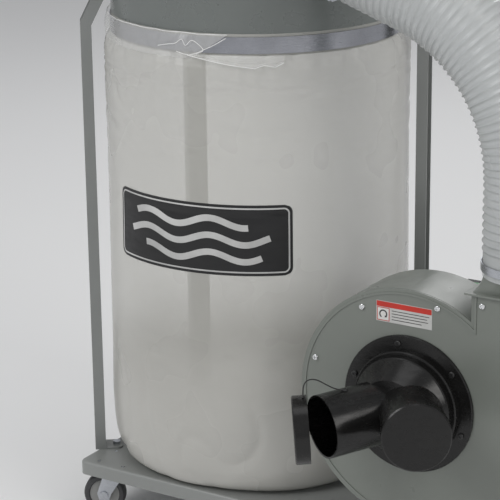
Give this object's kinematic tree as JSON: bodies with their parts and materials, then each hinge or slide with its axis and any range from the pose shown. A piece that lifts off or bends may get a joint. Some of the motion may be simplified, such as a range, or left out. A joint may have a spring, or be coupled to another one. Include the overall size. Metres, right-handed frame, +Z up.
{
  "type": "dust collector",
  "caption": "Mobile single-bag dust collector: drum between a cloth filter bag and a clear collection bag, side blower, flexible hose and angled inlet ports with caps.",
  "frame": {"origin": "on the floor, in the middle of the machine's footprint box", "axes": "+Z up, +X from the bags towards the blower, -Y towards the inlet ports"},
  "size_m": [0.9434, 0.7484, 1.996],
  "materials": {
    "base_paint": "satin",
    "leg_paint": "satin",
    "drum_paint": "satin",
    "blower_paint": "satin",
    "motor_paint": "satin",
    "black_plastic": "satin",
    "switch_green": "gloss",
    "zinc_steel": "satin",
    "bright_screws": "polished",
    "black_screws": "satin",
    "bare_steel": "machined",
    "copper_and_laminations": "varnished",
    "cast_aluminium": "cast",
    "wheel_rubber": "matte",
    "gasket_foam": "matte",
    "clear_film": "translucent",
    "filter_cloth": "woven",
    "hose_plastic": "gloss",
    "tether_cord": "matte",
    "label_print": "gloss"
  },
  "bodies": {
    "root": {"base_plate": "base_paint", "caster_plates": "zinc_steel", "caster_bolts": "zinc_steel", "leg_front_left": "leg_paint", "leg_rear_left": "leg_paint", "leg_right": "leg_paint", "leg_foot_bolts": "zinc_steel", "leg_top_bolts": "zinc_steel", "drum": "drum_paint", "drum_inlet_stub": "drum_paint", "drum_cone": "drum_paint", "collection_bag": "clear_film", "filter_bag": "filter_cloth", "lower_band": "zinc_steel", "upper_band": "zinc_steel", "hanger_rod": "zinc_steel", "hanger_clamps": "zinc_steel", "blower_housing": "blower_paint", "blower_cover": "blower_paint", "cover_gasket": "gasket_foam", "cover_screws": "bright_screws", "flange_screws": "black_screws", "label_plate": "label_print", "inlet_fitting": "black_plastic", "outlet_collar": "blower_paint", "flex_hose": "hose_plastic", "hose_clamp_lower": "zinc_steel", "hose_clamp_upper": "zinc_steel", "motor_front_bell": "motor_paint", "housing_bolts": "zinc_steel", "motor_frame": "motor_paint", "motor_rear_bell": "motor_paint", "bearing_front": "bare_steel", "bearing_rear": "bare_steel", "stator": "copper_and_laminations", "fan_cover": "motor_paint", "capacitor_cover": "motor_paint", "switch_box": "black_plastic", "cord_gland": "black_plastic", "motor_bracket": "base_paint", "bracket_bolts": "zinc_steel", "tether_screw": "black_screws", "cap_tether": "tether_cord"},
    "rotor": {"rotor_shaft": "bare_steel", "impeller": "cast_aluminium", "impeller_bolt": "zinc_steel", "cooling_fan": "black_plastic"},
    "lower_lever": {"lower_band_lever": "zinc_steel"},
    "upper_lever": {"upper_band_lever": "zinc_steel"},
    "cap_left": {"port_cap_left": "black_plastic"},
    "cap_right": {"port_cap_right": "black_plastic"},
    "rocker": {"switch_rocker": "switch_green"},
    "fork_front_left": {"caster_fork_front_left": "zinc_steel"},
    "wheel_front_left": {"caster_wheel_front_left": "wheel_rubber"},
    "fork_rear_left": {"caster_fork_rear_left": "zinc_steel"},
    "wheel_rear_left": {"caster_wheel_rear_left": "wheel_rubber"},
    "fork_front_right": {"caster_fork_front_right": "zinc_steel"},
    "wheel_front_right": {"caster_wheel_front_right": "wheel_rubber"},
    "fork_rear_right": {"caster_fork_rear_right": "zinc_steel"},
    "wheel_rear_right": {"caster_wheel_rear_right": "wheel_rubber"}
  },
  "joints": [
    {"name": "rotor_spin", "type": "hinge", "parent": "root", "child": "rotor", "pos_m": [0.22535, 0.08103, 0.345], "axis": [0, 1, 0], "continuous": true},
    {"name": "swivel_front_left", "type": "hinge", "parent": "root", "child": "fork_front_left", "pos_m": [-0.37565, -0.12697, 0.0965], "axis": [0, 0, 1], "continuous": true},
    {"name": "roll_front_left", "type": "hinge", "parent": "fork_front_left", "child": "wheel_front_left", "pos_m": [-0.40103, -0.13881, 0.0375], "axis": [0.4226, -0.9063, 0], "continuous": true},
    {"name": "swivel_rear_left", "type": "hinge", "parent": "root", "child": "fork_rear_left", "pos_m": [-0.37565, 0.28903, 0.0965], "axis": [0, 0, 1], "continuous": true},
    {"name": "roll_rear_left", "type": "hinge", "parent": "fork_rear_left", "child": "wheel_rear_left", "pos_m": [-0.40196, 0.2986, 0.0375], "axis": [-0.342, -0.9397, 0], "continuous": true},
    {"name": "swivel_front_right", "type": "hinge", "parent": "root", "child": "fork_front_right", "pos_m": [0.37935, -0.12697, 0.0965], "axis": [0, 0, 1], "continuous": true},
    {"name": "roll_front_right", "type": "hinge", "parent": "fork_front_right", "child": "wheel_front_right", "pos_m": [0.35641, -0.14303, 0.0375], "axis": [0.5736, -0.8192, 0], "continuous": true},
    {"name": "swivel_rear_right", "type": "hinge", "parent": "root", "child": "fork_rear_right", "pos_m": [0.37935, 0.28903, 0.0965], "axis": [0, 0, 1], "continuous": true},
    {"name": "roll_rear_right", "type": "hinge", "parent": "fork_rear_right", "child": "wheel_rear_right", "pos_m": [0.3551, 0.30303, 0.0375], "axis": [-0.5, -0.866, 0], "continuous": true},
    {"name": "cap_left_swing", "type": "hinge", "parent": "root", "child": "cap_left", "pos_m": [0.09875, -0.27188, 0.33478], "axis": [0.0354, 0.0566, -0.9978], "range_deg": [-25, 95], "deforming": ["cap_tether"]},
    {"name": "cap_right_swing", "type": "hinge", "parent": "root", "child": "cap_right", "pos_m": [0.34772, -0.26511, 0.35468], "axis": [-0.0354, 0.0566, 0.9978], "range_deg": [0, 115]},
    {"name": "lower_latch", "type": "hinge", "parent": "root", "child": "lower_lever", "pos_m": [-0.16941, 0.33889, 0.8855], "axis": [0, 0, 1], "range_deg": [0, 150]},
    {"name": "upper_latch", "type": "hinge", "parent": "root", "child": "upper_lever", "pos_m": [-0.16941, 0.33889, 1.1865], "axis": [0, 0, 1], "range_deg": [0, 150]},
    {"name": "switch_rock", "type": "hinge", "parent": "root", "child": "rocker", "pos_m": [0.22535, 0.05803, 0.465], "axis": [1, 0, 0], "range_deg": [-8, 8]}
  ]
}
